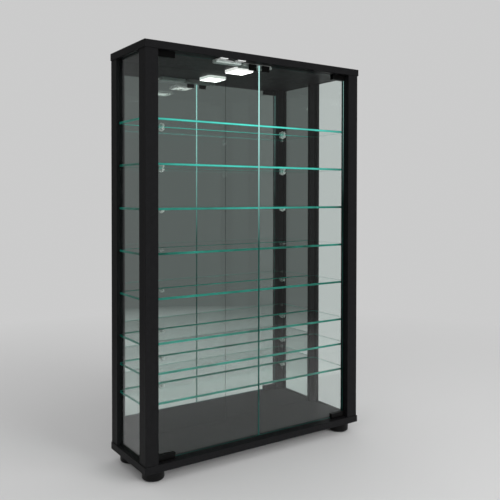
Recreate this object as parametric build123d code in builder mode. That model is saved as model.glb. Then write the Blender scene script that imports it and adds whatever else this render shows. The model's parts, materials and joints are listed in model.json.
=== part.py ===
from build123d import *
import os

# Free-standing glass display cabinet: board top and bottom, four posts, glass sides, mirror back,
# two inset glass doors on clamp hinges, eight glass shelves, a small lamp and round feet.
# x runs across, -y is the front, z is up, and the origin is on the floor under the middle.

# Overall sizes
width = 594
depth = 181
foot_height = 24
body_height = 900
board_thickness = 16
board_overhang = 2
board_edge_round = 0.8

# Posts
post_width = 30
front_post_depth = 28
glass_lip_depth = 2
rear_post_width = 26
rear_post_depth = 21
rear_lip_depth = 9
post_edge_round = 0.6

# Side glass, held in grooves
side_glass_thickness = 4
side_glass_inset = 7.3
groove_clearance = 0.2
groove_depth_in_post = 8
groove_depth_behind_lip = 15
groove_depth_in_board = 4
side_glass_end_gap = 0.5

# Mirror back, its backing panel and the strips that hold both
mirror_thickness = 4
mirror_setback = 16
mirror_joint_gap = 1
mirror_edge_gap = 0.4
rebate_width = 10
backing_thickness = 3
strip_screw_radius = 1.5
strip_screw_head_radius = 3
strip_screw_head_height = 1.6
side_strip_screw_count = 3
cross_strip_screw_count = 4

# Shelves and what they rest on
shelf_thickness = 5
shelf_edge_chamfer = 0.4
lowest_shelf_gap = 116
narrow_pitch = 64
narrow_pitch_count = 2
wide_pitch = 96
wide_pitch_count = 5
shelf_side_gap = 1.7
shelf_front_gap = 0.5
shelf_rear_gap = 0.5
pin_radius = 2.5
pin_seat_depth = 8
pin_reach = 8
pin_inset = 22
peg_radius = 4
peg_collar_radius = 6
peg_collar_thickness = 1
peg_shank_radius = 2.5
peg_under_shelf = 4
peg_inset = 119
peg_cap_radius = 5.5
peg_cap_thickness = 2.5
peg_cap_seat = 1.5

# Doors
door_setback = 16
door_glass_thickness = 4
door_top_gap = 4
door_bottom_gap = 4
door_side_gap = 4
door_meeting_gap = 2
door_edge_round = 0.5

# Clamp hinges
clamp_width = 42
clamp_height = 13
clamp_jaw = 3.5
clamp_pad_thickness = 0.5
clamp_side_gap = 2.5
clamp_edge_round = 1.2
pivot_from_post = 12.5
pivot_radius = 3
pivot_end_gap = 1
running_clearance = 0.05
bush_radius = 4.5
bush_depth = 10
bush_flange_radius = 7
bush_flange_thickness = 0.9
hinge_washer_gap = 0.1
clamp_screw_radius = 2.5
clamp_screw_spacing = 20
clamp_screw_socket = 1.3

# Magnetic push latch and its strike plates
strike_width = 19.5
strike_drop = 13
strike_sheet = 1
strike_fold_radius = 0.6
strike_from_centre = 18.4
latch_width = 81
latch_depth = 25
latch_height = 8.5
latch_setback = 24
latch_corner = 2
latch_edge_round = 1
latch_rear_wall = 2
latch_floor_wall = 0.8
plunger_radius = 2.5
plunger_gap = 0.3
plunger_travel = 3
magnet_thickness = 2
magnet_chamfer = 0.3
guide_clearance = 0.4
guide_end_gap = 2.2
spring_wire_radius = 0.3
spring_side_gap = 0.1
spring_turns = 5
spring_room = 9.2
spring_end_gap = 0.1
latch_screw_from_end = 5.5

# Stop bar behind the left door
stop_width = 67
stop_latch_gap = 5
stop_depth = 18
stop_height = 7.5
stop_glass_gap = 3
stop_corner = 1
stop_edge_round = 0.8
stop_tongue_width = 20
stop_tongue_thickness = 2
stop_tongue_setback = 4

# Lamp under the top board
lamp_width = 53
lamp_depth = 54
lamp_height = 7
lamp_from_front = 103
lamp_corner = 7
lamp_edge_round = 0.8
lamp_wall = 1.6
lamp_base_thickness = 1
lamp_lens_thickness = 1.2
lamp_lens_recess = 0.4
lamp_board_thickness = 1
lamp_chip_size = 3.5
lamp_chip_height = 0.7
lamp_chip_spacing = 12
lamp_screw_from_side = 9.5

# Small screws, dowels and post screws
small_screw_radius = 1.6
small_screw_length = 12
small_screw_head_radius = 2.9
small_screw_head_height = 1.6
dowel_radius = 3
dowel_in_board = 12
dowel_in_post = 20
dowel_from_inner_face = 8
dowel_from_rebate = 4.2
post_screw_radius = 2.5
post_screw_head_radius = 5
post_screw_head_height = 2.5
post_screw_in_post = 34
post_screw_from_inner_face = 20
post_screw_from_outer_face = 4.2
joint_from_post_front = 10
dowel_from_back = 5
post_screw_from_back = 10
hole_clearance = 0.05
hole_end_gap = 1

# Feet
foot_radius = 24
foot_side_inset = 34
foot_front_inset = 33
foot_edge_round = 5
foot_top_round = 1
foot_neck_radius = 19
foot_neck_height = 3
foot_pad_radius = 15
foot_pad_thickness = 2
foot_pad_proud = 0.8
foot_well_radius = 7
foot_floor_thickness = 8
foot_screw_radius = 3
foot_screw_head_radius = 5.5
foot_screw_head_height = 3.5
foot_screw_in_board = 12

# Planes and lines that several pieces share
half_width = width / 2
front = -depth / 2
rear = depth / 2
base_z = foot_height
floor_z = base_z + board_thickness
ceiling_z = base_z + body_height - board_thickness
post_height = ceiling_z - floor_z
post_outer = half_width - board_overhang
post_front = front + board_overhang
post_inner = post_outer - post_width
post_rear = post_front + front_post_depth
lip_rear = post_rear + glass_lip_depth
rear_post_inner = post_outer - rear_post_width
rear_post_front = rear - rear_post_depth
rear_lip_front = rear_post_front - rear_lip_depth
glass_outer = post_outer - side_glass_inset
glass_inner = glass_outer - side_glass_thickness
groove_outer = glass_outer + groove_clearance
groove_inner = glass_inner - groove_clearance
groove_width = groove_outer - groove_inner
groove_middle = (groove_outer + groove_inner) / 2
groove_front = lip_rear - groove_depth_in_post
groove_rear = rear_lip_front + groove_depth_behind_lip
mirror_front = rear - mirror_setback
mirror_rear = mirror_front + mirror_thickness
backing_rear = mirror_rear + backing_thickness
rebate_outer = rear_post_inner + rebate_width
door_front = front + door_setback
door_rear = door_front + door_glass_thickness
door_middle = (door_front + door_rear) / 2
door_bottom = floor_z + door_bottom_gap
door_top = ceiling_z - door_top_gap
door_outer = post_inner - door_side_gap
pivot_x = post_inner - pivot_from_post
clamp_outer = post_inner - clamp_side_gap
clamp_inner = clamp_outer - clamp_width
clamp_slot = door_glass_thickness + 2 * clamp_pad_thickness
clamp_thickness = clamp_slot + 2 * clamp_jaw
hinge_gap = bush_flange_thickness + hinge_washer_gap
latch_front = front + latch_setback
plunger_front = door_rear + strike_sheet + plunger_gap
plunger_z = ceiling_z - latch_height + latch_floor_wall + running_clearance + plunger_radius
bore_end = latch_front + latch_depth - latch_rear_wall
shoulder_y = bore_end - spring_room
spring_mean_radius = plunger_radius - spring_side_gap - spring_wire_radius
guide_radius = spring_mean_radius - spring_wire_radius - guide_clearance
guide_length = spring_room - plunger_travel - guide_end_gap
latch_screw_x = latch_width / 2 - latch_screw_from_end
shelf_front = post_rear + shelf_front_gap
shelf_rear = rear_post_front - shelf_rear_gap
shelf_half_width = glass_inner - shelf_side_gap
peg_reach = mirror_front - shelf_rear + peg_under_shelf
pin_x = half_width - pin_inset
peg_x = half_width - peg_inset
lamp_y = front + lamp_from_front
lamp_bottom = ceiling_z - lamp_height
lamp_screw_x = lamp_width / 2 - lamp_screw_from_side
clamp_middle_x = (clamp_outer + clamp_inner) / 2
stop_front = door_rear + stop_glass_gap
stop_rear = stop_front + stop_depth
stop_right = -(latch_width / 2 + stop_latch_gap)
stop_left = stop_right - stop_width
stop_middle = (stop_left + stop_right) / 2
tongue_offset = (stop_width - stop_tongue_width) / 2
sides = {"left": -1, "right": 1}
seams = ((ceiling_z, 1), (floor_z, -1))

# Undersides of the shelves, from the lowest up
shelf_undersides = [floor_z + lowest_shelf_gap]
for step in [narrow_pitch] * narrow_pitch_count + [wide_pitch] * wide_pitch_count:
    shelf_undersides.append(shelf_undersides[-1] + step)

# Centres of the dowels and screws that join the four posts to the boards, as (x, y)
front_joint_y = post_front + joint_from_post_front
dowel_spots = []
post_screw_spots = []
for side in sides.values():
    dowel_spots.append((side * (post_inner + dowel_from_inner_face), front_joint_y))
    dowel_spots.append((side * (rebate_outer + dowel_from_rebate), rear - dowel_from_back))
    post_screw_spots.append((side * (post_inner + post_screw_from_inner_face), front_joint_y))
    rear_screw_x = post_outer - post_screw_from_outer_face
    post_screw_spots.append((side * rear_screw_x, rear - post_screw_from_back))

# Centres of the feet
foot_spots = []
for side in sides.values():
    foot_spots.append((side * (half_width - foot_side_inset), front + foot_front_inset))
    foot_spots.append((side * (half_width - foot_side_inset), rear - foot_front_inset))

# Centres of the hinge pivots and of the small screws in the top board
hinge_spots = [(side * pivot_x, door_middle) for side in sides.values()]
latch_screw_spots = [(side * latch_screw_x, latch_front + latch_depth / 2) for side in sides.values()]
lamp_screw_spots = [(side * lamp_screw_x, lamp_y) for side in sides.values()]
stop_screw_spots = [
    (stop_middle + side * tongue_offset, stop_front + stop_depth / 2) for side in sides.values()
]
small_screw_spots = latch_screw_spots + stop_screw_spots + lamp_screw_spots

# Centres of the pins and pegs under the shelves, as (x, z)
pin_spots = [(side * pin_x, z - pin_radius) for side in sides.values() for z in shelf_undersides]
peg_spots = [(side * peg_x, z - peg_radius) for side in sides.values() for z in shelf_undersides]

os.makedirs("parts", exist_ok=True)


def save(builder, name):
    """Label a finished piece and write it."""
    builder.part.label = name
    export_step(builder.part, f"parts/{name}.step")


def level(z):
    """Horizontal sketch plane at height z."""
    return Plane.XY.offset(z)


def facing_front(y):
    """Upright sketch plane at y, with x across and z up, whose positive side is the front."""
    return Plane(origin=(0, y, 0), x_dir=(1, 0, 0), z_dir=(0, -1, 0))


def facing_right(x):
    """Upright sketch plane at x, with y across and z up, whose positive side is +x."""
    return Plane(origin=(x, 0, 0), x_dir=(0, 1, 0), z_dir=(1, 0, 0))


def box_between(x0, x1, y0, y1, z0, z1, mode=Mode.ADD):
    """Block given by its low and high faces."""
    with BuildSketch(level(min(z0, z1))) as outline:
        with Locations(((x0 + x1) / 2, (y0 + y1) / 2)):
            Rectangle(abs(x1 - x0), abs(y1 - y0))
    extrude(outline.sketch, amount=abs(z1 - z0), mode=mode)


def upright_holes(spots, radius, z, amount):
    """Vertical round holes at spots, cut from height z by amount."""
    with BuildSketch(level(z)) as circles:
        with Locations(spots):
            Circle(radius)
    extrude(circles.sketch, amount=amount, mode=Mode.SUBTRACT)


def rods(spots, radius, plane, amount):
    """Round rods on a plane at spots."""
    with BuildSketch(plane) as circles:
        with Locations(spots):
            Circle(radius)
    extrude(circles.sketch, amount=amount)


def board(name, z, inner_z, into):
    """Top or bottom board: grooves, bush holes and dowel holes open on its inner face."""
    with BuildPart() as panel:
        with BuildSketch(level(z)):
            Rectangle(width, depth)
        extrude(amount=board_thickness)
        fillet(panel.edges(), board_edge_round)
        for side in sides.values():
            glass_groove = (side * groove_middle, (groove_front + groove_rear) / 2)
            with BuildSketch(level(inner_z)):
                with Locations(glass_groove):
                    Rectangle(groove_width, groove_rear - groove_front)
            extrude(amount=into * groove_depth_in_board, mode=Mode.SUBTRACT)
        upright_holes(hinge_spots, bush_radius + hole_clearance, inner_z, into * bush_depth)
        upright_holes(dowel_spots, dowel_radius + hole_clearance, inner_z, into * dowel_in_board)
        if into < 0:
            upright_holes(post_screw_spots, post_screw_radius + hole_clearance, z, board_thickness)
            upright_holes(
                post_screw_spots, post_screw_head_radius + hole_clearance, z, post_screw_head_height
            )
            upright_holes(foot_spots, foot_screw_radius + hole_clearance, z, foot_screw_in_board)
        else:
            upright_holes(
                small_screw_spots, small_screw_radius + hole_clearance, inner_z, small_screw_length
            )
    save(panel, name)


def post_holes(side, front_half):
    """Dowel holes at both ends of a post and the screw hole in its foot."""
    chosen = [spot for spot in dowel_spots if spot[0] * side > 0 and (spot[1] < 0) == front_half]
    screwed = [spot for spot in post_screw_spots if spot[0] * side > 0 and (spot[1] < 0) == front_half]
    upright_holes(chosen, dowel_radius + hole_clearance, floor_z, dowel_in_post)
    upright_holes(chosen, dowel_radius + hole_clearance, ceiling_z, -dowel_in_post)
    upright_holes(screwed, post_screw_radius + hole_clearance, floor_z, post_screw_in_post)


def front_post(name, side):
    """Front post: the side glass's groove is in its rear face, beside the outer lip."""
    with BuildPart() as post:
        box_between(side * post_inner, side * post_outer, post_front, post_rear, floor_z, ceiling_z)
        box_between(side * glass_outer, side * post_outer, post_rear, lip_rear, floor_z, ceiling_z)
        fillet(post.edges().filter_by(Axis.Z).group_by(Axis.Y)[0], post_edge_round)
        box_between(
            side * groove_inner, side * groove_outer, groove_front, lip_rear, floor_z, ceiling_z,
            mode=Mode.SUBTRACT,
        )
        with BuildSketch(facing_front(post_rear)):
            with Locations([(side * pin_x, z - pin_radius) for z in shelf_undersides]):
                Circle(pin_radius + hole_clearance)
        extrude(amount=pin_seat_depth, mode=Mode.SUBTRACT)
        post_holes(side, front_half=True)
    save(post, name)


def rear_post(name, side):
    """Rear post: groove in front, and a rebate behind for the mirror and its backing."""
    with BuildPart() as post:
        box_between(side * rear_post_inner, side * post_outer, rear_post_front, rear, floor_z, ceiling_z)
        box_between(
            side * glass_outer, side * post_outer, rear_lip_front, rear_post_front, floor_z, ceiling_z
        )
        box_between(
            side * rear_post_inner, side * rebate_outer, mirror_front, rear, floor_z, ceiling_z,
            mode=Mode.SUBTRACT,
        )
        box_between(
            side * groove_inner, side * groove_outer, rear_lip_front, groove_rear, floor_z, ceiling_z,
            mode=Mode.SUBTRACT,
        )
        post_holes(side, front_half=False)
    save(post, name)


board("top_panel", ceiling_z, ceiling_z, 1)
board("bottom_panel", base_z, floor_z, -1)
for side_name, side in sides.items():
    front_post(f"front_post_{side_name}", side)
    rear_post(f"rear_post_{side_name}", side)

# Dowels that join posts to boards
with BuildPart() as dowels:
    for seam_z, up in seams:
        rods(dowel_spots, dowel_radius, level(seam_z), up * (dowel_in_board - hole_end_gap))
        rods(dowel_spots, dowel_radius, level(seam_z), -up * (dowel_in_post - hole_end_gap))
save(dowels, "dowels")

# Screws driven up through the bottom board into the posts
with BuildPart() as post_screws:
    rods(post_screw_spots, post_screw_head_radius, level(base_z), post_screw_head_height)
    rods(
        post_screw_spots, post_screw_radius, level(base_z),
        board_thickness + post_screw_in_post - hole_end_gap,
    )
    with BuildSketch(level(base_z)):
        with Locations(post_screw_spots):
            RegularPolygon(post_screw_radius, 6)
    extrude(amount=post_screw_head_height / 2, mode=Mode.SUBTRACT)
save(post_screws, "post_screws")


def side_glass(name, side):
    """Fixed pane that stands in the grooves of posts and boards."""
    with BuildPart() as pane:
        box_between(
            side * glass_inner, side * glass_outer,
            groove_front + side_glass_end_gap, groove_rear - side_glass_end_gap,
            floor_z - groove_depth_in_board + side_glass_end_gap,
            ceiling_z + groove_depth_in_board - side_glass_end_gap,
        )
    save(pane, name)


def mirror_half(name, side):
    """One half of the mirror, drilled for the rear shelf pegs."""
    with BuildPart() as mirror_pane:
        box_between(
            side * mirror_joint_gap / 2, side * (rebate_outer - mirror_edge_gap),
            mirror_front, mirror_rear, floor_z + mirror_edge_gap, ceiling_z - mirror_edge_gap,
        )
        with BuildSketch(facing_front(mirror_rear)):
            with Locations([(side * peg_x, z - peg_radius) for z in shelf_undersides]):
                Circle(peg_shank_radius + hole_clearance)
        extrude(amount=mirror_thickness, mode=Mode.SUBTRACT)
    save(mirror_pane, name)


for side_name, side in sides.items():
    side_glass(f"side_glass_{side_name}", side)
    mirror_half(f"mirror_{side_name}", side)

# Thin panel behind the mirror
with BuildPart() as back_panel:
    box_between(
        -rebate_outer + mirror_edge_gap, rebate_outer - mirror_edge_gap,
        mirror_rear, backing_rear, floor_z + mirror_edge_gap, ceiling_z - mirror_edge_gap,
    )
    with BuildSketch(facing_front(backing_rear)):
        with Locations(peg_spots):
            Circle(peg_shank_radius + hole_clearance)
    extrude(amount=backing_thickness, mode=Mode.SUBTRACT)
save(back_panel, "back_panel")

# Strips that hold mirror and panel in their rebate, with their screws
strip_screws_up = []
strip_screws_across = []
strip_y = (backing_rear + rear) / 2
for number in range(side_strip_screw_count):
    strip_screws_across.append(floor_z + post_height * (number + 0.5) / side_strip_screw_count)
for number in range(cross_strip_screw_count):
    strip_screws_up.append(rear_post_inner * (2 * (number + 0.5) / cross_strip_screw_count - 1))

with BuildPart() as side_strips:
    for side in sides.values():
        box_between(side * rear_post_inner, side * rebate_outer, backing_rear, rear, floor_z, ceiling_z)
        with BuildSketch(facing_right(side * rear_post_inner)):
            with Locations([(strip_y, z) for z in strip_screws_across]):
                Circle(strip_screw_radius + hole_clearance)
        extrude(amount=side * rebate_width, mode=Mode.SUBTRACT)
save(side_strips, "back_side_strips")

with BuildPart() as cross_strips:
    for seam_z, up in seams:
        box_between(
            -rear_post_inner, rear_post_inner, backing_rear, rear, seam_z, seam_z - up * rebate_width
        )
        upright_holes(
            [(x, strip_y) for x in strip_screws_up], strip_screw_radius + hole_clearance,
            seam_z, -up * rebate_width,
        )
save(cross_strips, "back_cross_strips")

with BuildPart() as back_screws:
    for side in sides.values():
        spots = [(strip_y, z) for z in strip_screws_across]
        rods(spots, strip_screw_radius, facing_right(side * rear_post_inner), side * rebate_width)
        rods(spots, strip_screw_head_radius, facing_right(side * rear_post_inner),
             -side * strip_screw_head_height)
    for seam_z, up in seams:
        spots = [(x, strip_y) for x in strip_screws_up]
        rods(spots, strip_screw_radius, level(seam_z), -up * rebate_width)
        rods(spots, strip_screw_head_radius, level(seam_z - up * rebate_width),
             -up * strip_screw_head_height)
save(back_screws, "back_screws")

# Glass shelves, numbered from the lowest
for number, underside in enumerate(shelf_undersides, start=1):
    with BuildPart() as shelf:
        box_between(
            -shelf_half_width, shelf_half_width, shelf_front, shelf_rear,
            underside, underside + shelf_thickness,
        )
        chamfer(shelf.edges().filter_by(Axis.X), shelf_edge_chamfer)
    save(shelf, f"shelf_{number}")

# Steel pins in the front posts
with BuildPart() as shelf_pins:
    rods(pin_spots, pin_radius, facing_front(post_rear), pin_seat_depth - hole_end_gap)
    rods(pin_spots, pin_radius, facing_front(post_rear), -pin_reach)
save(shelf_pins, "shelf_pins")

# Pegs through the mirror that carry the rear edge of each shelf, and the caps that lock them
with BuildPart() as shelf_pegs:
    rods(peg_spots, peg_collar_radius, facing_front(mirror_front), peg_collar_thickness)
    rods(peg_spots, peg_radius, facing_front(mirror_front), peg_reach)
    rods(peg_spots, peg_shank_radius, facing_front(mirror_front),
         -(mirror_thickness + backing_thickness + peg_cap_seat))
save(shelf_pegs, "shelf_pegs")

with BuildPart() as peg_caps:
    rods(peg_spots, peg_cap_radius, facing_front(backing_rear), -peg_cap_thickness)
    with BuildSketch(facing_front(backing_rear)):
        with Locations(peg_spots):
            Circle(peg_shank_radius + hole_clearance)
    extrude(amount=-(peg_cap_seat + hole_clearance), mode=Mode.SUBTRACT)
save(peg_caps, "peg_caps")


def foot(name, spot):
    """Turned foot: neck, rounded body, well for its screw, recess for a rubber pad."""
    x, y = spot
    with BuildPart() as body:
        with BuildSketch(level(foot_pad_proud)):
            with Locations((x, y)):
                Circle(foot_radius)
        extrude(amount=foot_height - foot_neck_height - foot_pad_proud)
        fillet(body.edges().group_by(Axis.Z)[0], foot_edge_round)
        fillet(body.edges().group_by(Axis.Z)[-1], foot_top_round)
        with BuildSketch(level(foot_height - foot_neck_height)):
            with Locations((x, y)):
                Circle(foot_neck_radius)
        extrude(amount=foot_neck_height)
        upright_holes([spot], foot_pad_radius + hole_clearance, 0, foot_pad_thickness)
        upright_holes([spot], foot_well_radius, 0, foot_height - foot_floor_thickness)
        upright_holes([spot], foot_screw_radius + hole_clearance, 0, foot_height)
    save(body, name)


foot_names = ["foot_front_left", "foot_rear_left", "foot_front_right", "foot_rear_right"]
for foot_name, spot in zip(foot_names, foot_spots):
    foot(foot_name, spot)

with BuildPart() as foot_pads:
    rods(foot_spots, foot_pad_radius, level(0), foot_pad_thickness)
save(foot_pads, "foot_pads")

screw_seat_z = foot_height - foot_floor_thickness
with BuildPart() as foot_screws:
    rods(
        foot_spots, foot_screw_radius, level(screw_seat_z),
        foot_floor_thickness + foot_screw_in_board - hole_end_gap,
    )
    rods(foot_spots, foot_screw_head_radius, level(screw_seat_z), -foot_screw_head_height)
    with BuildSketch(level(screw_seat_z - foot_screw_head_height)):
        with Locations(foot_spots):
            RegularPolygon(foot_screw_radius, 6)
    extrude(amount=foot_screw_head_height / 2, mode=Mode.SUBTRACT)
save(foot_screws, "foot_screws")


def door_glass(name, side):
    """Frameless door pane with eased upright edges."""
    with BuildPart() as pane:
        box_between(
            side * door_meeting_gap / 2, side * door_outer,
            door_front, door_rear, door_bottom, door_top,
        )
        fillet(pane.edges().filter_by(Axis.Z), door_edge_round)
    save(pane, name)


def clamp_screw_spots(side, edge, far):
    """Centres of a clamp's two grub screws, as (x, z)."""
    middle_z = (edge + far) / 2
    offset = clamp_screw_spacing / 2
    return [(side * clamp_middle_x - offset, middle_z), (side * clamp_middle_x + offset, middle_z)]


def hinge_clamp(name, side, seam_z, up):
    """Block that grips the corner of a door's glass, bored for its pivot and grub screws."""
    near = seam_z - up * hinge_gap
    far = near - up * clamp_height
    edge = seam_z - up * door_top_gap
    with BuildPart() as clamp:
        box_between(
            side * clamp_inner, side * clamp_outer,
            door_middle - clamp_thickness / 2, door_middle + clamp_thickness / 2, near, far,
        )
        fillet(clamp.edges().filter_by(Axis.Z), clamp_edge_round)
        box_between(
            side * clamp_inner, side * clamp_outer,
            door_middle - clamp_slot / 2, door_middle + clamp_slot / 2, edge, far,
            mode=Mode.SUBTRACT,
        )
        upright_holes([(side * pivot_x, door_middle)], pivot_radius + hole_clearance, near, edge - near)
        with BuildSketch(facing_front(door_middle + clamp_thickness / 2)):
            with Locations(clamp_screw_spots(side, edge, far)):
                Circle(clamp_screw_radius + hole_clearance)
        extrude(amount=clamp_jaw, mode=Mode.SUBTRACT)
    save(clamp, name)


for side_name, side in sides.items():
    door_glass(f"door_glass_{side_name}", side)
    for end_name, (seam_z, up) in zip(("top", "bottom"), seams):
        hinge_clamp(f"hinge_clamp_{end_name}_{side_name}", side, seam_z, up)

    # Pivot pins pressed into the clamps
    with BuildPart() as pivots:
        for seam_z, up in seams:
            seat = seam_z - up * door_top_gap
            rods(
                [(side * pivot_x, door_middle)], pivot_radius, level(seat),
                up * (door_top_gap + bush_depth - pivot_end_gap),
            )
    save(pivots, f"hinge_pivots_{side_name}")

    # Grub screws with hexagon sockets
    with BuildPart() as grub_screws:
        for seam_z, up in seams:
            edge = seam_z - up * door_top_gap
            far = seam_z - up * (hinge_gap + clamp_height)
            spots = clamp_screw_spots(side, edge, far)
            rods(spots, clamp_screw_radius, facing_front(door_middle + clamp_thickness / 2), clamp_jaw)
            with BuildSketch(facing_front(door_middle + clamp_thickness / 2)):
                with Locations(spots):
                    RegularPolygon(clamp_screw_socket, 6)
            extrude(amount=clamp_jaw / 2, mode=Mode.SUBTRACT)
    save(grub_screws, f"hinge_grub_screws_{side_name}")

    # Rubber pads between glass and jaws
    with BuildPart() as pads:
        for seam_z, up in seams:
            edge = seam_z - up * door_top_gap
            far = seam_z - up * (hinge_gap + clamp_height)
            slot_front = door_middle - clamp_slot / 2
            slot_rear = door_middle + clamp_slot / 2
            for y0, y1 in ((slot_front, door_front), (door_rear, slot_rear)):
                box_between(side * clamp_inner, side * door_outer, y0, y1, edge, far)
    save(pads, f"hinge_pads_{side_name}")

    # Folded strike plate over the top edge of the glass
    strike_x = side * strike_from_centre
    with BuildPart() as strike:
        box_between(
            strike_x - strike_width / 2, strike_x + strike_width / 2,
            door_front - strike_sheet, door_rear + strike_sheet,
            door_top + strike_sheet, door_top - strike_drop,
        )
        fillet(strike.edges().filter_by(Axis.X).group_by(Axis.Z)[-1], strike_fold_radius)
        box_between(
            strike_x - strike_width / 2, strike_x + strike_width / 2, door_front, door_rear,
            door_top, door_top - strike_drop, mode=Mode.SUBTRACT,
        )
    save(strike, f"strike_plate_{side_name}")

# Plain bearings in the boards for the pivots
with BuildPart() as bushes:
    for seam_z, up in seams:
        rods(hinge_spots, bush_radius, level(seam_z), up * (bush_depth - hole_clearance))
        rods(hinge_spots, bush_flange_radius, level(seam_z), -up * bush_flange_thickness)
    for seam_z, up in seams:
        upright_holes(
            hinge_spots, pivot_radius + running_clearance,
            seam_z - up * bush_flange_thickness, up * (bush_flange_thickness + bush_depth),
        )
save(bushes, "hinge_bushes")

# Latch body under the top board, with one bore for each door's plunger
with BuildPart() as latch_body:
    box_between(
        -latch_width / 2, latch_width / 2, latch_front, latch_front + latch_depth,
        ceiling_z - latch_height, ceiling_z,
    )
    fillet(latch_body.edges().filter_by(Axis.Z), latch_corner)
    fillet(latch_body.faces().sort_by(Axis.Z)[0].edges(), latch_edge_round)
    with BuildSketch(facing_front(latch_front)):
        with Locations([(side * strike_from_centre, plunger_z) for side in sides.values()]):
            Circle(plunger_radius + running_clearance)
    extrude(amount=-(bore_end - latch_front), mode=Mode.SUBTRACT)
    upright_holes(
        latch_screw_spots, small_screw_radius + hole_clearance, ceiling_z - latch_height, latch_height
    )
    upright_holes(
        latch_screw_spots, small_screw_head_radius + hole_clearance,
        ceiling_z - latch_height, small_screw_head_height,
    )
save(latch_body, "latch_body")

for side_name, side in sides.items():
    spot = [(side * strike_from_centre, plunger_z)]

    # Plunger with a guide rod behind its shoulder
    with BuildPart() as plunger:
        rods(spot, plunger_radius, facing_front(plunger_front + magnet_thickness),
             plunger_front + magnet_thickness - shoulder_y)
        rods(spot, guide_radius, facing_front(shoulder_y), -guide_length)
    save(plunger, f"latch_plunger_{side_name}")

    with BuildPart() as magnet:
        rods(spot, plunger_radius, facing_front(plunger_front + magnet_thickness), magnet_thickness)
        chamfer(magnet.faces().sort_by(Axis.Y)[0].edges(), magnet_chamfer)
    save(magnet, f"latch_magnet_{side_name}")

# Return springs, drawn at their pressed length, round the guide rods
spring_front = shoulder_y + plunger_travel + spring_wire_radius + spring_end_gap
spring_length = bore_end - spring_end_gap - spring_wire_radius - spring_front
with BuildPart() as springs:
    for side in sides.values():
        with BuildLine():
            coil = Helix(
                pitch=spring_length / spring_turns, height=spring_length, radius=spring_mean_radius,
                center=(side * strike_from_centre, spring_front, plunger_z), direction=(0, 1, 0),
            )
        with BuildSketch(Plane(origin=coil @ 0, z_dir=coil % 0)):
            Circle(spring_wire_radius)
        sweep(path=coil)
save(springs, "latch_springs")

# Stop bar: its two tongues reach forward over the glass, flat against the top board
with BuildPart() as stop_bar:
    box_between(
        stop_left, stop_right, stop_front, stop_rear, ceiling_z - stop_height, ceiling_z
    )
    fillet(stop_bar.edges().filter_by(Axis.Z), stop_corner)
    fillet(stop_bar.faces().sort_by(Axis.Z)[0].edges(), stop_edge_round)
    for offset in (-tongue_offset, tongue_offset):
        box_between(
            stop_middle + offset - stop_tongue_width / 2, stop_middle + offset + stop_tongue_width / 2,
            front + stop_tongue_setback, stop_front + stop_depth / 2,
            ceiling_z - stop_tongue_thickness, ceiling_z,
        )
    upright_holes(
        stop_screw_spots, small_screw_radius + hole_clearance, ceiling_z - stop_height, stop_height
    )
    upright_holes(
        stop_screw_spots, small_screw_head_radius + hole_clearance,
        ceiling_z - stop_height, small_screw_head_height,
    )
save(stop_bar, "door_stop")

# Screws of the latch and the stop bar, and the lamp's, which end on its base plate
with BuildPart() as small_screws:
    for spots, drop in (
        (latch_screw_spots, latch_height - small_screw_head_height),
        (stop_screw_spots, stop_height - small_screw_head_height),
        (lamp_screw_spots, lamp_base_thickness),
    ):
        rods(spots, small_screw_radius, level(ceiling_z - drop), drop + small_screw_length - hole_end_gap)
        rods(spots, small_screw_head_radius, level(ceiling_z - drop), -small_screw_head_height)
save(small_screws, "fitting_screws")


def lamp_outline(inset):
    """The lamp's rounded outline, drawn inwards by inset."""
    with Locations((0, lamp_y)):
        RectangleRounded(lamp_width - 2 * inset, lamp_depth - 2 * inset, lamp_corner - inset)


# Base plate that the lamp snaps onto
with BuildPart() as lamp_base:
    with BuildSketch(level(ceiling_z)):
        lamp_outline(lamp_wall + hole_clearance)
    extrude(amount=-lamp_base_thickness)
    upright_holes(
        lamp_screw_spots, small_screw_radius + hole_clearance, ceiling_z, -lamp_base_thickness
    )
save(lamp_base, "lamp_base")

# Lamp housing: a shallow box, open at top and bottom, with a ledge for the lens
with BuildPart() as lamp_housing:
    with BuildSketch(level(lamp_bottom)):
        lamp_outline(0)
    extrude(amount=lamp_height)
    fillet(lamp_housing.faces().sort_by(Axis.Z)[0].edges(), lamp_edge_round)
    with BuildSketch(level(lamp_bottom)):
        lamp_outline(lamp_wall)
    extrude(amount=lamp_height, mode=Mode.SUBTRACT)
save(lamp_housing, "lamp_housing")

with BuildPart() as lamp_lens:
    with BuildSketch(level(lamp_bottom + lamp_lens_recess)):
        lamp_outline(lamp_wall + hole_clearance)
    extrude(amount=lamp_lens_thickness)
save(lamp_lens, "lamp_lens")

# Circuit board with four light chips, just above the lens
circuit_z = lamp_bottom + lamp_lens_recess + lamp_lens_thickness + lamp_chip_height
with BuildPart() as lamp_circuit:
    with BuildSketch(level(circuit_z)):
        lamp_outline(lamp_wall + hole_clearance)
    extrude(amount=lamp_board_thickness)
    with BuildSketch(level(circuit_z)):
        with Locations((0, lamp_y)):
            with GridLocations(lamp_chip_spacing, lamp_chip_spacing, 2, 2):
                Rectangle(lamp_chip_size, lamp_chip_size)
    extrude(amount=-lamp_chip_height)
save(lamp_circuit, "lamp_circuit")

# Least space between neighbouring turns of a spring, measured on points along it
points_per_turn = 24
point_count = spring_turns * points_per_turn
coil_points = [coil @ (number / point_count) for number in range(point_count + 1)]
turn_gaps = []
for number, point in enumerate(coil_points):
    for other in coil_points[number + points_per_turn // 2:]:
        turn_gaps.append((point - other).length - 2 * spring_wire_radius)
print("spring turns stand apart by", round(min(turn_gaps), 3), "mm")

hinge_corner_reach = ((clamp_outer - pivot_x) ** 2 + (clamp_thickness / 2) ** 2) ** 0.5
print("hinge corner clears the post by", round(pivot_from_post - hinge_corner_reach, 3), "mm")
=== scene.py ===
import json
import math

import bmesh
import bpy
from mathutils import Matrix, Vector


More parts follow.
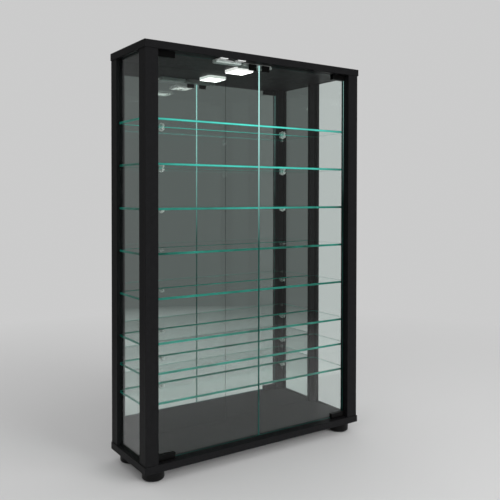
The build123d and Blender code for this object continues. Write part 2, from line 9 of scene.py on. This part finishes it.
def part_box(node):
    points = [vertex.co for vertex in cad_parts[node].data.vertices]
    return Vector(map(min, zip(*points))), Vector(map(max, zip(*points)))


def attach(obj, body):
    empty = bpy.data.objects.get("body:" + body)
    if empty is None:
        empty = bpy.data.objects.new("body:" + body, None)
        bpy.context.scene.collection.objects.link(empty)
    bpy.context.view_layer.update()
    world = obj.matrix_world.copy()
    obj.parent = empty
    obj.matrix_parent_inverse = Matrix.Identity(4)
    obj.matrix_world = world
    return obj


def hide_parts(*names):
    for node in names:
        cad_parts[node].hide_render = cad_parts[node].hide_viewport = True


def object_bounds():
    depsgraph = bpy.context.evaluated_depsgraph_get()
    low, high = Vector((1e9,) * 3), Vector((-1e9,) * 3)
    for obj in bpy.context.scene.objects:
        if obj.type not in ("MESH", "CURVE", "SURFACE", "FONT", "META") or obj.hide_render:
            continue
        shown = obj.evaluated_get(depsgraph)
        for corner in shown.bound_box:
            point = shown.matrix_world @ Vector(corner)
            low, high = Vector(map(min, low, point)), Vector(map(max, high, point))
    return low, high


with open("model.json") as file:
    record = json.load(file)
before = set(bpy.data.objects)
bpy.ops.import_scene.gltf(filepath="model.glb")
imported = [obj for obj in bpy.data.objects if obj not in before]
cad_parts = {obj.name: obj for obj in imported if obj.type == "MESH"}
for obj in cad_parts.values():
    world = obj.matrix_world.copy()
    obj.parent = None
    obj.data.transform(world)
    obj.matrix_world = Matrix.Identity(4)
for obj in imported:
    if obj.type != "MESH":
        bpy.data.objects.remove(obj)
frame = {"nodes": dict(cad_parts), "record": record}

# Glass display cabinet: finishes, small mesh pieces and studio.
# Metres; x runs across, -y is the front and z is up.

cad_low, cad_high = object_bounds()
MM = 0.001
SIDES = ("left", "right")
SCENE = bpy.context.scene

# Camera, solved from the cabinet's own edges in the photograph; angles in degrees
CAMERA_PLACE = (-0.87544, -1.32599, 0.6017)
CAMERA_YAW = 34.174
CAMERA_PITCH = -0.970
CAMERA_ROLL = 0.074
CAMERA_LENS = 47.369
CAMERA_SENSOR = 36.0
CAMERA_SHIFT = -0.085
CAMERA_NEAR = 10 * MM

# Room: PALE to look at; in a mirror it is PALE towards the wall's azimuth and SHADE on the other sides
PALE = 0.60
SHADE = 0.15
WALL_AZIMUTH = 45
SHADE_ENDS = 0.35
PALE_STARTS = 0.85
ROOM_LIGHT = 0.70
FLOOR_COLOUR = (0.66, 0.66, 0.66, 1)
FLOOR_SIZE = 60.0
FLOOR_FADE_STARTS = 0.5
FLOOR_FADE_ENDS = 1.9

# Soft boxes, both turned to the cabinet's middle
LIGHT_TARGET = (0, 0, 0.5)
LIGHT_SIZE = 2.0
KEY_PLACE = (0.9, -2.8, 1.05)
KEY_POWER = 72
FILL_PLACE = (-2.4, -1.2, 1.4)
FILL_POWER = 8

# Patterns: the stretch of a noise's values over which a colour or a gloss changes
COLOUR_STARTS = 0.35
COLOUR_ENDS = 0.65
GLOSS_STARTS = 0.3
GLOSS_ENDS = 0.7
GRAIN_ROUGHNESS = 0.55
BROAD_TO_FINE = 12
USUAL_SPECULAR = 0.5

# Glass and mirror; a face is one of a pane's two large ones where its normal lies along the pane's axis
# by at least MAIN_FACE
INDEX = 1.52
PANE = (0.93, 0.975, 0.96, 1)
MAIN_FACE = 0.9
EDGE_ROUGHNESS = 0.16
EDGE_TRANSLUCENT = 0.5
SILVER = (0.76, 0.82, 0.80, 1)
SILVER_HAZE = (0.004, 0.03)

# Painted glow in the polished edges: an emission that stands in for the lamp's light carried through the
# glass. It is full within GLOW_NEAR of the lamp, and less in the part of an edge that lies near the pane's
# faces
GLOW_NEAR = 0.12
BAND_STARTS = 0.18
BAND_ENDS = 0.42
BAND_LEAST = 0.25

# Lamp: the lens dims from its middle to its rim, over a stretch given as shares of its size
LAMP_COLOUR = (1.0, 0.98, 0.95, 1)
LAMP_MIDDLE = 9.0
LAMP_RIM = 4.0
LAMP_DIMS_FROM = 0.1
LAMP_DIMS_TO = 0.5
# Painted glow on the lamp's housing: an emission for light coming through its plastic
HOUSING_PAINTED_GLOW = 0.8

# Plated metal keeps some colour of its own, and its scratches are shallow
PLATED = 0.6
SCRATCH_DEPTH = 0.02 * MM
SCRATCH_STRENGTH = 0.4

# Meshes: points this near are one point, heights this near are one level
SAME_POINT = 1e-6
SAME_LEVEL = 1e-7
SORT_DIGITS = 5
SHARP_ANGLE = math.radians(32)
TOWARDS_REAR = Matrix.Rotation(math.radians(-90), 4, "X")

# Feet, shelf pins and shelf pegs: what the frame's boxes don't give; PIN_DOME is a share of the radius
FOOT_ROUND = 5 * MM
FOOT_TOP_ROUND = 1 * MM
FOOT_FILLET = 0.5 * MM
FOOT_NECK = 19 * MM
FOOT_NECK_HEIGHT = 3 * MM
FOOT_PAD_TOP = 2 * MM
FOOT_PAD_HOLE = 15.05 * MM
FOOT_WELL = 7 * MM
FOOT_WELL_TOP = 16 * MM
FOOT_HOLE = 3.05 * MM
PIN_DOME = 0.6
PEG_RADIUS = 4 * MM
PEG_SHANK = 2.5 * MM
PEG_NOSE = 1.2 * MM
PEG_GROOVE = 5.5 * MM
PEG_GROOVE_DEPTH = 0.25 * MM
PEG_COLLAR = 1 * MM

# Screws: shares of the head's height or radius, apart from the sizes in MM
SCREW_HEAD = 1.6 * MM
FITTING_SCREW_SHANK = 1.6 * MM
BACK_SCREW_SHANK = 1.5 * MM
HEAD_RIM = 0.35
HEAD_CROWN_ANGLE = 60
RECESS_ARM = 0.52
RECESS_HALF_WIDTH = 0.15
RECESS_DEPTH = 0.6
RECESS_TAPER = 0.8

# Small rounds on the edges of nodes that keep their own mesh
STRIKE_EDGE = 0.15 * MM
CLAMP_EDGE = 0.35 * MM


# Helpers for shader nodes

def srgb(red, green, blue):
    """A colour as seen on a screen, 0 to 255, as the linear values that shaders take."""
    levels = [level / 255 for level in (red, green, blue)]
    linear = [level / 12.92 if level <= 0.04045 else ((level + 0.055) / 1.055) ** 2.4 for level in levels]
    return (*linear, 1.0)


def add_node(tree, kind, inputs=None, **settings):
    """A new shader node; an input is given a value or the socket that feeds it."""
    made = tree.nodes.new(kind)
    for name, value in settings.items():
        setattr(made, name, value)
    for socket, value in (inputs or {}).items():
        if isinstance(value, bpy.types.NodeSocket):
            tree.links.new(value, made.inputs[socket])
        else:
            made.inputs[socket].default_value = value
    return made


def new_material(name, values):
    """A material with one Principled shader whose sockets take the given values."""
    material = bpy.data.materials.new(name)
    material.use_nodes = True
    shader = material.node_tree.nodes["Principled BSDF"]
    for socket, value in values.items():
        shader.inputs[socket].default_value = value
    return material, material.node_tree, shader


def set_surface(tree, shader):
    """Makes a shader the surface of the material."""
    tree.links.new(shader.outputs[0], tree.nodes["Material Output"].inputs["Surface"])


def math_node(tree, operation, first, second=0.0):
    return add_node(tree, "ShaderNodeMath", {0: first, 1: second}, operation=operation).outputs["Value"]


def vector_math(tree, operation, result, *vectors):
    made = add_node(tree, "ShaderNodeVectorMath", dict(enumerate(vectors)), operation=operation)
    return made.outputs[result]


def mix_shaders(tree, factor, first, second):
    return add_node(tree, "ShaderNodeMixShader", {0: factor, 1: first.outputs[0], 2: second.outputs[0]})


def object_place(tree, stretch=(1, 1, 1)):
    """The point on the piece itself, so that a pattern stays with it when it moves."""
    place = add_node(tree, "ShaderNodeTexCoord").outputs["Object"]
    return add_node(tree, "ShaderNodeMapping", {"Vector": place, "Scale": stretch}).outputs["Vector"]


def coordinate(tree, kind, axis):
    """One component of a texture coordinate, such as Generated or Normal."""
    place = add_node(tree, "ShaderNodeTexCoord").outputs[kind]
    return add_node(tree, "ShaderNodeSeparateXYZ", {"Vector": place}).outputs[axis]


def facing(tree, axis):
    """1 where a face looks along the piece's own axis or against it, and 0 where it looks sideways."""
    along = math_node(tree, "ABSOLUTE", coordinate(tree, "Normal", axis))
    return math_node(tree, "GREATER_THAN", along, MAIN_FACE)


def from_middle(tree, axis):
    """How far a point lies from the middle of its piece along axis: 0.5 at the piece's ends."""
    return math_node(tree, "ABSOLUTE", math_node(tree, "SUBTRACT", coordinate(tree, "Generated", axis), 0.5))


def noise(tree, place, scale, detail=4.0):
    inputs = {"Vector": place, "Scale": scale, "Detail": detail, "Roughness": GRAIN_ROUGHNESS}
    return add_node(tree, "ShaderNodeTexNoise", inputs).outputs["Fac"]


def between(tree, factor, low, high, start, end):
    """Maps the values of a factor from start..end to low..high."""
    inputs = {"Value": factor, "From Min": start, "From Max": end, "To Min": low, "To Max": high}
    return add_node(tree, "ShaderNodeMapRange", inputs).outputs["Result"]


def shades(tree, pattern, dark, light):
    """A colour that follows a pattern from dark to light."""
    made = add_node(tree, "ShaderNodeValToRGB", {"Fac": pattern})
    first, last = made.color_ramp.elements
    first.position = COLOUR_STARTS
    first.color = dark
    last.position = COLOUR_ENDS
    last.color = light
    return made.outputs["Color"]


def set_gloss(tree, shader, pattern, smoothest, roughest):
    """Roughness that follows a pattern."""
    gloss = between(tree, pattern, smoothest, roughest, GLOSS_STARTS, GLOSS_ENDS)
    tree.links.new(gloss, shader.inputs["Roughness"])


def set_relief(tree, shader, height, depth, strength=1.0):
    """Bumps as deep as depth, in metres, that follow a pattern."""
    made = add_node(tree, "ShaderNodeBump", {"Height": height, "Distance": depth, "Strength": strength})
    tree.links.new(made.outputs["Normal"], shader.inputs["Normal"])


# Materials

def textured(name, dark, light, roughness, scale, relief, specular=USUAL_SPECULAR, stretch=(1, 1, 1)):
    """Moulded, painted or board surface: fine uneven colour, gloss and relief."""
    material, tree, shader = new_material(name, {"Specular IOR Level": specular})
    place = object_place(tree, stretch)
    fine = noise(tree, place, scale)
    broad = noise(tree, place, scale / BROAD_TO_FINE, detail=2.0)
    both = math_node(tree, "MULTIPLY", math_node(tree, "ADD", fine, broad), 0.5)
    tree.links.new(shades(tree, both, dark, light), shader.inputs["Base Color"])
    set_gloss(tree, shader, broad, *roughness)
    set_relief(tree, shader, fine, relief)
    return material


def metal(name, colour, roughness, scale, stretch=(1, 1, 1)):
    """Bright plated metal with fine scratches."""
    material, tree, shader = new_material(name, {"Base Color": colour, "Metallic": PLATED})
    scratches = noise(tree, object_place(tree, stretch), scale, detail=6.0)
    set_gloss(tree, shader, scratches, *roughness)
    set_relief(tree, shader, scratches, SCRATCH_DEPTH, SCRATCH_STRENGTH)
    return material


def painted_lamp_glow(tree, axis, strongest, reach):
    """Painted glow of the lamp's light, as emission, in the edges that face along axis: it fades with
    distance and ends at reach.
    """
    low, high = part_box("lamp_lens")
    away = vector_math(tree, "DISTANCE", "Value", object_place(tree), (low + high) / 2)
    spill = between(tree, away, strongest, 0.0, GLOW_NEAR, reach)
    return math_node(tree, "MULTIPLY", facing(tree, axis), spill)


def edge_band(tree, axis):
    """Where the painted glow shows: 1 midway between a pane's faces, which look along axis, and less towards
    them.
    """
    return between(tree, from_middle(tree, axis), 1.0, BAND_LEAST, BAND_STARTS, BAND_ENDS)


def glass(name, axis, dark, light, glow_colour, glow_axis, glow, reach):
    """Float glass: clear through its faces along axis and green at its edges, which the lamp lights through
    the translucent shader and which also carry a painted glow.
    """
    values = {"Base Color": PANE, "Roughness": 0.0, "IOR": INDEX, "Transmission Weight": 1.0}
    material, tree, clear = new_material(name, values)
    rays = add_node(tree, "ShaderNodeLightPath")
    lets_light = add_node(tree, "ShaderNodeBsdfTransparent", {"Color": PANE})
    face = mix_shaders(tree, rays.outputs["Is Shadow Ray"], clear, lets_light)
    streaks = noise(tree, object_place(tree), scale=9.0, detail=3.0)
    edge_colour = shades(tree, streaks, dark, light)
    # Painted glow: emission in the edges, strongest near the lamp and midway between the pane's faces
    painted_glow = math_node(tree, "MULTIPLY", painted_lamp_glow(tree, glow_axis, glow, reach), edge_band(tree, axis))
    polished = add_node(tree, "ShaderNodeBsdfPrincipled", {
        "Base Color": edge_colour, "Roughness": EDGE_ROUGHNESS, "IOR": INDEX,
        "Emission Color": glow_colour, "Emission Strength": painted_glow,
    })
    translucent = add_node(tree, "ShaderNodeBsdfTranslucent", {"Color": edge_colour})
    edge = mix_shaders(tree, EDGE_TRANSLUCENT, polished, translucent)
    set_surface(tree, mix_shaders(tree, facing(tree, axis), edge, face))
    return material


def mirror_material():
    """Silvered glass: its faces reflect and its edges are dark green."""
    material, tree, silver = new_material("mirror_silver", {"Base Color": SILVER, "Metallic": 1.0})
    set_gloss(tree, silver, noise(tree, object_place(tree), scale=5.0, detail=5.0), *SILVER_HAZE)
    side = add_node(tree, "ShaderNodeBsdfPrincipled", {"Base Color": srgb(8, 24, 21), "Roughness": 0.25})
    set_surface(tree, mix_shaders(tree, facing(tree, "Y"), side, silver))
    return material


def lamp_material():
    """Milky lens with light behind it, a little dimmer towards its rim."""
    values = {"Base Color": (0.9, 0.9, 0.9, 1), "Roughness": 0.35, "Emission Color": LAMP_COLOUR}
    material, tree, shader = new_material("lamp_diffuser", values)
    outwards = math_node(tree, "MAXIMUM", from_middle(tree, "X"), from_middle(tree, "Y"))
    light = between(tree, outwards, LAMP_MIDDLE, LAMP_RIM, LAMP_DIMS_FROM, LAMP_DIMS_TO)
    tree.links.new(light, shader.inputs["Emission Strength"])
    return material


def lit_plastic():
    """White plastic of the lamp's housing, with a painted glow that stands in for a little of the light
    inside it coming through.
    """
    values = {"Roughness": 0.35, "Emission Color": LAMP_COLOUR, "Emission Strength": HOUSING_PAINTED_GLOW}
    material, tree, shader = new_material("lit_plastic", values)
    grain = noise(tree, object_place(tree), WHITE_GRAIN)
    tree.links.new(shades(tree, grain, *WHITE), shader.inputs["Base Color"])
    set_relief(tree, shader, grain, WHITE_RELIEF)
    return material


WHITE = (srgb(222, 223, 222), srgb(236, 236, 234))
WHITE_GRAIN = 700.0
WHITE_RELIEF = 0.02 * MM
TEXTURED = {
    "black_board": dict(dark=srgb(20, 20, 21), light=srgb(25, 25, 26), specular=0.07,
                        roughness=(0.42, 0.50), scale=1100.0, relief=0.004 * MM),
    "back_board": dict(dark=srgb(26, 24, 23), light=srgb(42, 39, 37), specular=0.3,
                       roughness=(0.70, 0.85), scale=500.0, relief=0.06 * MM, stretch=(1, 1, 0.3)),
    "black_metal": dict(dark=srgb(2, 2, 2), light=srgb(6, 6, 6), specular=0.15,
                        roughness=(0.30, 0.40), scale=1400.0, relief=0.02 * MM),
    "black_plastic": dict(dark=srgb(4, 4, 4), light=srgb(9, 9, 9), specular=0.2,
                          roughness=(0.35, 0.45), scale=1200.0, relief=0.04 * MM),
    "black_rubber": dict(dark=srgb(14, 14, 14), light=srgb(24, 24, 24), specular=0.2,
                         roughness=(0.75, 0.90), scale=800.0, relief=0.08 * MM),
    "white_plastic": dict(dark=WHITE[0], light=WHITE[1],
                          roughness=(0.30, 0.38), scale=WHITE_GRAIN, relief=WHITE_RELIEF),
    "pale_plastic": dict(dark=srgb(140, 143, 141), light=srgb(158, 160, 158),
                         roughness=(0.35, 0.45), scale=700.0, relief=0.02 * MM),
    "circuit_board": dict(dark=srgb(190, 196, 192), light=srgb(205, 210, 206),
                          roughness=(0.40, 0.50), scale=400.0, relief=0.01 * MM),
    "dowel_wood": dict(dark=srgb(170, 132, 88), light=srgb(205, 168, 120),
                       roughness=(0.60, 0.75), scale=260.0, relief=0.1 * MM, stretch=(1, 1, 0.08)),
}
MATERIALS = {name: textured(name, **looks) for name, looks in TEXTURED.items()}
MATERIALS["bright_steel"] = metal(
    "bright_steel", (0.72, 0.72, 0.71, 1), roughness=(0.18, 0.30), scale=300.0, stretch=(1, 6, 1))
MATERIALS["nickel"] = metal("nickel", (0.95, 0.95, 0.93, 1), roughness=(0.24, 0.34), scale=200.0)
MATERIALS["lamp_diffuser"] = lamp_material()
MATERIALS["mirror_glass"] = mirror_material()

# Colours of the painted glow, an emission, in the glass edges; glow_axis, glow and reach say where it shows
SHELF_GLOW = srgb(100, 236, 224)
DOOR_GLOW = srgb(190, 240, 236)
GLASS = {
    "shelf": glass("shelf_glass", axis="Z", dark=srgb(20, 112, 96), light=srgb(56, 184, 166),
                   glow_colour=SHELF_GLOW, glow_axis="Y", glow=2.1, reach=0.40),
    "door": glass("door_glass", axis="Y", dark=srgb(30, 95, 86), light=srgb(64, 140, 130),
                  glow_colour=DOOR_GLOW, glow_axis="X", glow=2.4, reach=0.42),
    "side": glass("side_glass", axis="X", dark=srgb(30, 90, 80), light=srgb(60, 130, 120),
                  glow_colour=SHELF_GLOW, glow_axis="Y", glow=0.2, reach=0.40),
}
OWN_FINISH = {"lamp_housing": lit_plastic()}


def dress_cad_nodes():
    """Each node of the construction gets the material of its slot; a pane's name starts with its kind."""
    for part in frame["record"]["subparts"]:
        name = part["node"]
        slot = part["material_slot"]
        if slot == "clear_glass":
            material = GLASS[name.split("_")[0]]
        else:
            material = OWN_FINISH.get(name, MATERIALS[slot])
        data = frame["nodes"][name].data
        data.materials.clear()
        data.materials.append(material)


# Mesh pieces

def new_piece(name, shape, slot, body, replaced):
    """Finishes a mesh: smooth where it curves, sharp where it turns, riding on its body."""
    bmesh.ops.recalc_face_normals(shape, faces=shape.faces)
    mesh = bpy.data.meshes.new(name)
    shape.to_mesh(mesh)
    shape.free()
    mesh.shade_smooth()
    mesh.set_sharp_from_angle(angle=SHARP_ANGLE)
    mesh.materials.append(MATERIALS[slot])
    piece = bpy.data.objects.new(name, mesh)
    SCENE.collection.objects.link(piece)
    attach(piece, body)
    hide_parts(replaced)


def arc(centre_radius, centre_height, size, start, end, steps=6):
    """Points of a round corner in a turned profile; angles go from the radius towards the height."""
    points = []
    for number in range(steps + 1):
        angle = math.radians(start + (end - start) * number / steps)
        points.append((centre_radius + size * math.cos(angle), centre_height + size * math.sin(angle)))
    return points


def turn(shape, profile, place, segments, closed=False):
    """Adds a turned solid: profile points are (radius, height), and its axis stands at place."""
    rings = []
    for radius, height in profile:
        ring = []
        for number in range(segments if radius > 0 else 1):
            angle = 2 * math.pi * number / segments
            point = Vector((radius * math.cos(angle), radius * math.sin(angle), height))
            ring.append(shape.verts.new(place @ point))
        rings.append(ring)
    pairs = list(zip(rings, rings[1:]))
    if closed:
        pairs.append((rings[-1], rings[0]))
    for low, high in pairs:
        for number in range(segments):
            after = (number + 1) % segments
            lower = [low[number % len(low)], low[after % len(low)]]
            upper = [high[after % len(high)], high[number % len(high)]]
            shape.faces.new(list(dict.fromkeys(lower + upper)))


def connected_points(vert, left):
    """The points that hang together with vert; they are taken out of the set left."""
    todo = [vert]
    found = []
    while todo:
        vert = todo.pop()
        found.append(vert.co.copy())
        for edge in vert.link_edges:
            other = edge.other_vert(vert)
            if other in left:
                left.remove(other)
                todo.append(other)
    return found


def solid_boxes(node):
    """(low, high) corners of each separate solid in a CAD node, in the order of their low corners."""
    welded = bmesh.new()
    welded.from_mesh(frame["nodes"][node].data)
    bmesh.ops.remove_doubles(welded, verts=welded.verts, dist=SAME_POINT)
    left = set(welded.verts)
    boxes = []
    while left:
        points = connected_points(left.pop(), left)
        low = Vector([min(point[axis] for point in points) for axis in range(3)])
        high = Vector([max(point[axis] for point in points) for axis in range(3)])
        boxes.append((low, high))
    welded.free()
    return sorted(boxes, key=lambda box: tuple(round(value, SORT_DIGITS) for value in box[0]))


def front_of(low, high):
    """Where a piece that lies from front to back begins, with its axis turned to the rear."""
    return Matrix.Translation(((low.x + high.x) / 2, low.y, (low.z + high.z) / 2)) @ TOWARDS_REAR


def foot_profile(radius, bottom, top):
    """Half a foot in section, from the screw hole down through the well and up the outside."""
    shoulder = top - FOOT_NECK_HEIGHT
    profile = [(FOOT_HOLE, top), (FOOT_HOLE, FOOT_WELL_TOP), (FOOT_WELL, FOOT_WELL_TOP)]
    profile += [(FOOT_WELL, FOOT_PAD_TOP), (FOOT_PAD_HOLE, FOOT_PAD_TOP), (FOOT_PAD_HOLE, bottom)]
    profile += arc(radius - FOOT_ROUND, bottom + FOOT_ROUND, FOOT_ROUND, -90, 0, steps=10)
    profile += arc(radius - FOOT_TOP_ROUND, shoulder - FOOT_TOP_ROUND, FOOT_TOP_ROUND, 0, 90)
    profile += arc(FOOT_NECK + FOOT_FILLET, shoulder + FOOT_FILLET, FOOT_FILLET, -90, -180)
    return profile + [(FOOT_NECK, top)]


def add_feet():
    """Turned feet with a rounded lower rim, a neck under the board and a well for the screw."""
    for side in SIDES:
        for end in ("front", "rear"):
            name = f"foot_{end}_{side}"
            low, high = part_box(name)
            shape = bmesh.new()
            place = Matrix.Translation(((low.x + high.x) / 2, (low.y + high.y) / 2, 0))
            profile = foot_profile((high.x - low.x) / 2, low.z, high.z)
            turn(shape, profile, place, segments=72, closed=True)
            new_piece(name + "_turned", shape, "black_plastic", "root", name)


def add_shelf_pins():
    """Steel pins with a domed end."""
    shape = bmesh.new()
    for low, high in solid_boxes("shelf_pins"):
        radius = (high.x - low.x) / 2
        length = high.y - low.y
        dome = radius * PIN_DOME
        profile = [(0, 0), (radius, 0)] + arc(radius - dome, length - dome, dome, 0, 90) + [(0, length)]
        turn(shape, profile, front_of(low, high), segments=32)
    new_piece("shelf_pins_turned", shape, "bright_steel", "root", "shelf_pins")


def peg_profile(length, collar, collar_end):
    """Half a peg in section, from the middle of its nose to the end of its shank."""
    groove = PEG_RADIUS - PEG_GROOVE_DEPTH
    collar_start = collar_end - PEG_COLLAR
    profile = [(0, 0)] + arc(PEG_RADIUS - PEG_NOSE, PEG_NOSE, PEG_NOSE, -90, 0)
    for radius, step in ((PEG_RADIUS, 0), (groove, 1), (groove, 3), (PEG_RADIUS, 4)):
        profile.append((radius, PEG_GROOVE + step * PEG_GROOVE_DEPTH))
    profile.append((PEG_RADIUS, collar_start))
    profile += arc(collar - PEG_COLLAR / 2, collar_start + PEG_COLLAR / 2, PEG_COLLAR / 2, -90, 0, steps=3)
    return profile + [(collar, collar_end), (PEG_SHANK, collar_end), (PEG_SHANK, length), (0, length)]


def add_shelf_pegs():
    """Nickel pegs: rounded nose, groove, collar against the mirror and shank through it."""
    shape = bmesh.new()
    mirror_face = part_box("mirror_left")[0].y
    for low, high in solid_boxes("shelf_pegs"):
        profile = peg_profile(high.y - low.y, (high.x - low.x) / 2, mirror_face - low.y)
        turn(shape, profile, front_of(low, high), segments=40)
    new_piece("shelf_pegs_turned", shape, "nickel", "root", "shelf_pegs")


def cross_outline(radius):
    """Corners of a cross recess in a head of this radius."""
    arm = radius * RECESS_ARM
    half = radius * RECESS_HALF_WIDTH
    corners = [(half, half), (arm, half), (arm, -half)]
    outline = []
    for quarter in range(4):
        outline += corners
        corners = [(y, -x) for x, y in corners]
    return outline


def add_cross_head(shape, place, radius, height):
    """Adds a pan head with a cross recess; place stands on the face that it sits on."""
    rim = height * HEAD_RIM
    crown = height - rim
    profile = [(0, 0), (radius, 0), (radius, rim)]
    profile += arc(radius - crown, rim, crown, 0, HEAD_CROWN_ANGLE, steps=5)[1:]
    before = set(shape.verts)
    turn(shape, profile, place, segments=32)
    to_head = place.inverted()
    heights = {vert: (to_head @ vert.co).z for vert in shape.verts if vert not in before}
    top = max(heights.values())
    ring = {vert for vert, level in heights.items() if top - level < SAME_LEVEL}
    outer = [edge for edge in shape.edges if set(edge.verts) <= ring]
    outline = cross_outline(radius)
    depth = top - height * RECESS_DEPTH
    upper = [shape.verts.new(place @ Vector((x, y, top))) for x, y in outline]
    floor = [shape.verts.new(place @ Vector((x * RECESS_TAPER, y * RECESS_TAPER, depth))) for x, y in outline]
    inner = []
    for number in range(len(outline)):
        after = (number + 1) % len(outline)
        inner.append(shape.edges.new((upper[number], upper[after])))
        shape.faces.new((upper[number], upper[after], floor[after], floor[number]))
    shape.faces.new(floor)
    bmesh.ops.triangle_fill(shape, edges=outer + inner, use_beauty=True)


def add_screws(node, shank_radius, slot):
    """Screws with cross heads in place of a node's plain ones; each head looks to the cabinet's middle."""
    centre = (Vector(cad_low) + Vector(cad_high)) / 2
    shape = bmesh.new()
    for low, high in solid_boxes(node):
        size = high - low
        middle = (low + high) / 2
        axis = max(range(3), key=lambda number: size[number])
        way = Vector((0, 0, 0))
        way[axis] = -1 if middle[axis] > centre[axis] else 1
        seat = middle + way * (size[axis] / 2 - SCREW_HEAD)
        place = Matrix.Translation(seat) @ way.to_track_quat("Z", "Y").to_matrix().to_4x4()
        add_cross_head(shape, place, min(size) / 2, SCREW_HEAD)
        length = size[axis] - SCREW_HEAD
        turn(shape, [(0, -length), (shank_radius, -length), (shank_radius, 0), (0, 0)], place, segments=24)
    new_piece(node + "_cross_head", shape, slot, "root", node)


def soften(node, width):
    """Rounds the sharp edges of a CAD node a little, so that they catch the light."""
    piece = frame["nodes"][node]
    weld = piece.modifiers.new("weld", "WELD")
    weld.merge_threshold = SAME_POINT
    edges = piece.modifiers.new("edges", "BEVEL")
    edges.width = width
    edges.segments = 2
    edges.limit_method = "ANGLE"
    edges.angle_limit = SHARP_ANGLE
    edges.harden_normals = True


def soften_fittings():
    """Strike plates and hinge clamps keep their own mesh, with small rounds."""
    for side in SIDES:
        soften(f"strike_plate_{side}", STRIKE_EDGE)
        for end in ("top", "bottom"):
            soften(f"hinge_clamp_{end}_{side}", CLAMP_EDGE)


# Studio

def room_level(tree, way):
    """How bright the room looks along a way: PALE to look at, and from SHADE to PALE in a mirror."""
    azimuth = math.radians(WALL_AZIMUTH)
    wall = (math.sin(azimuth), math.cos(azimuth), 0)
    lean = vector_math(tree, "DOT_PRODUCT", "Value", way, wall)
    in_mirror = between(tree, lean, SHADE, PALE, SHADE_ENDS, PALE_STARTS)
    mirrored = add_node(tree, "ShaderNodeLightPath").outputs["Glossy Depth"]
    return between(tree, mirrored, PALE, in_mirror, 0.0, 1.0)


def add_floor():
    """Pale floor that runs into the room's own brightness away from the cabinet, with no horizon."""
    mesh = bpy.data.meshes.new("floor")
    shape = bmesh.new()
    bmesh.ops.create_grid(shape, x_segments=1, y_segments=1, size=FLOOR_SIZE / 2)
    shape.to_mesh(mesh)
    shape.free()
    floor = bpy.data.objects.new("floor", mesh)
    SCENE.collection.objects.link(floor)
    values = {"Base Color": FLOOR_COLOUR, "Roughness": 0.6, "Specular IOR Level": 0.2}
    material, tree, shader = new_material("floor", values)
    place = add_node(tree, "ShaderNodeTexCoord").outputs["Object"]
    away = vector_math(tree, "LENGTH", "Value", place)
    way = vector_math(tree, "NORMALIZE", "Vector", place)
    far = between(tree, away, 0.0, 1.0, FLOOR_FADE_STARTS, FLOOR_FADE_ENDS)
    distance = add_node(tree, "ShaderNodeEmission", {"Color": room_level(tree, way), "Strength": 1.0})
    set_surface(tree, mix_shaders(tree, far, shader, distance))
    mesh.materials.append(material)


def add_world():
    """Soft even light, with the room's brightness where it is seen, mirrored or looked at through glass."""
    world = bpy.data.worlds.new("studio")
    world.use_nodes = True
    SCENE.world = world
    tree = world.node_tree
    tree.nodes.clear()
    way = add_node(tree, "ShaderNodeTexCoord").outputs["Generated"]
    seen = add_node(tree, "ShaderNodeBackground", {"Color": room_level(tree, way), "Strength": 1.0})
    light = add_node(tree, "ShaderNodeBackground", {"Color": (1, 1, 1, 1), "Strength": ROOM_LIGHT})
    rays = add_node(tree, "ShaderNodeLightPath")
    looks = rays.outputs["Is Camera Ray"]
    for kind in ("Is Glossy Ray", "Is Transmission Ray"):
        looks = math_node(tree, "MAXIMUM", looks, rays.outputs[kind])
    both = mix_shaders(tree, looks, light, seen)
    add_node(tree, "ShaderNodeOutputWorld", {"Surface": both.outputs[0]})


def add_area_light(name, place, power):
    """Soft box at place, turned to the cabinet; it isn't seen in the mirror or through the glass."""
    data = bpy.data.lights.new(name, "AREA")
    data.shape = "DISK"
    data.size = LIGHT_SIZE
    data.energy = power
    light = bpy.data.objects.new(name, data)
    SCENE.collection.objects.link(light)
    light.location = place
    light.rotation_mode = "QUATERNION"
    light.rotation_quaternion = (Vector(LIGHT_TARGET) - Vector(place)).to_track_quat("-Z", "Y")
    light.visible_glossy = False
    light.visible_transmission = False


def add_camera():
    """The photograph's camera; yaw turns it from +y towards +x."""
    yaw, pitch, roll = (math.radians(angle) for angle in (CAMERA_YAW, CAMERA_PITCH, CAMERA_ROLL))
    forward = Vector((math.sin(yaw) * math.cos(pitch), math.cos(yaw) * math.cos(pitch), math.sin(pitch)))
    level_right = Vector((math.cos(yaw), -math.sin(yaw), 0))
    level_up = level_right.cross(forward)
    right = level_right * math.cos(roll) + level_up * math.sin(roll)
    up = level_up * math.cos(roll) - level_right * math.sin(roll)
    data = bpy.data.cameras.new("camera")
    data.lens = CAMERA_LENS
    data.sensor_width = CAMERA_SENSOR
    data.shift_y = CAMERA_SHIFT
    data.clip_start = CAMERA_NEAR
    camera = bpy.data.objects.new("camera", data)
    SCENE.collection.objects.link(camera)
    turned = Matrix((right, up, -forward)).transposed().to_4x4()
    camera.matrix_world = Matrix.Translation(CAMERA_PLACE) @ turned
    SCENE.camera = camera


add_camera()
dress_cad_nodes()
add_feet()
add_shelf_pins()
add_shelf_pegs()
add_screws("fitting_screws", FITTING_SCREW_SHANK, "nickel")
add_screws("back_screws", BACK_SCREW_SHANK, "bright_steel")
soften_fittings()
add_floor()
add_world()
add_area_light("key", KEY_PLACE, KEY_POWER)
add_area_light("fill", FILL_PLACE, FILL_POWER)

# Light passes many panes and their reflections on its way
SCENE.cycles.max_bounces = 32
SCENE.cycles.transmission_bounces = 28
SCENE.cycles.glossy_bounces = 12
SCENE.cycles.transparent_max_bounces = 48
SCENE.view_settings.view_transform = "Standard"
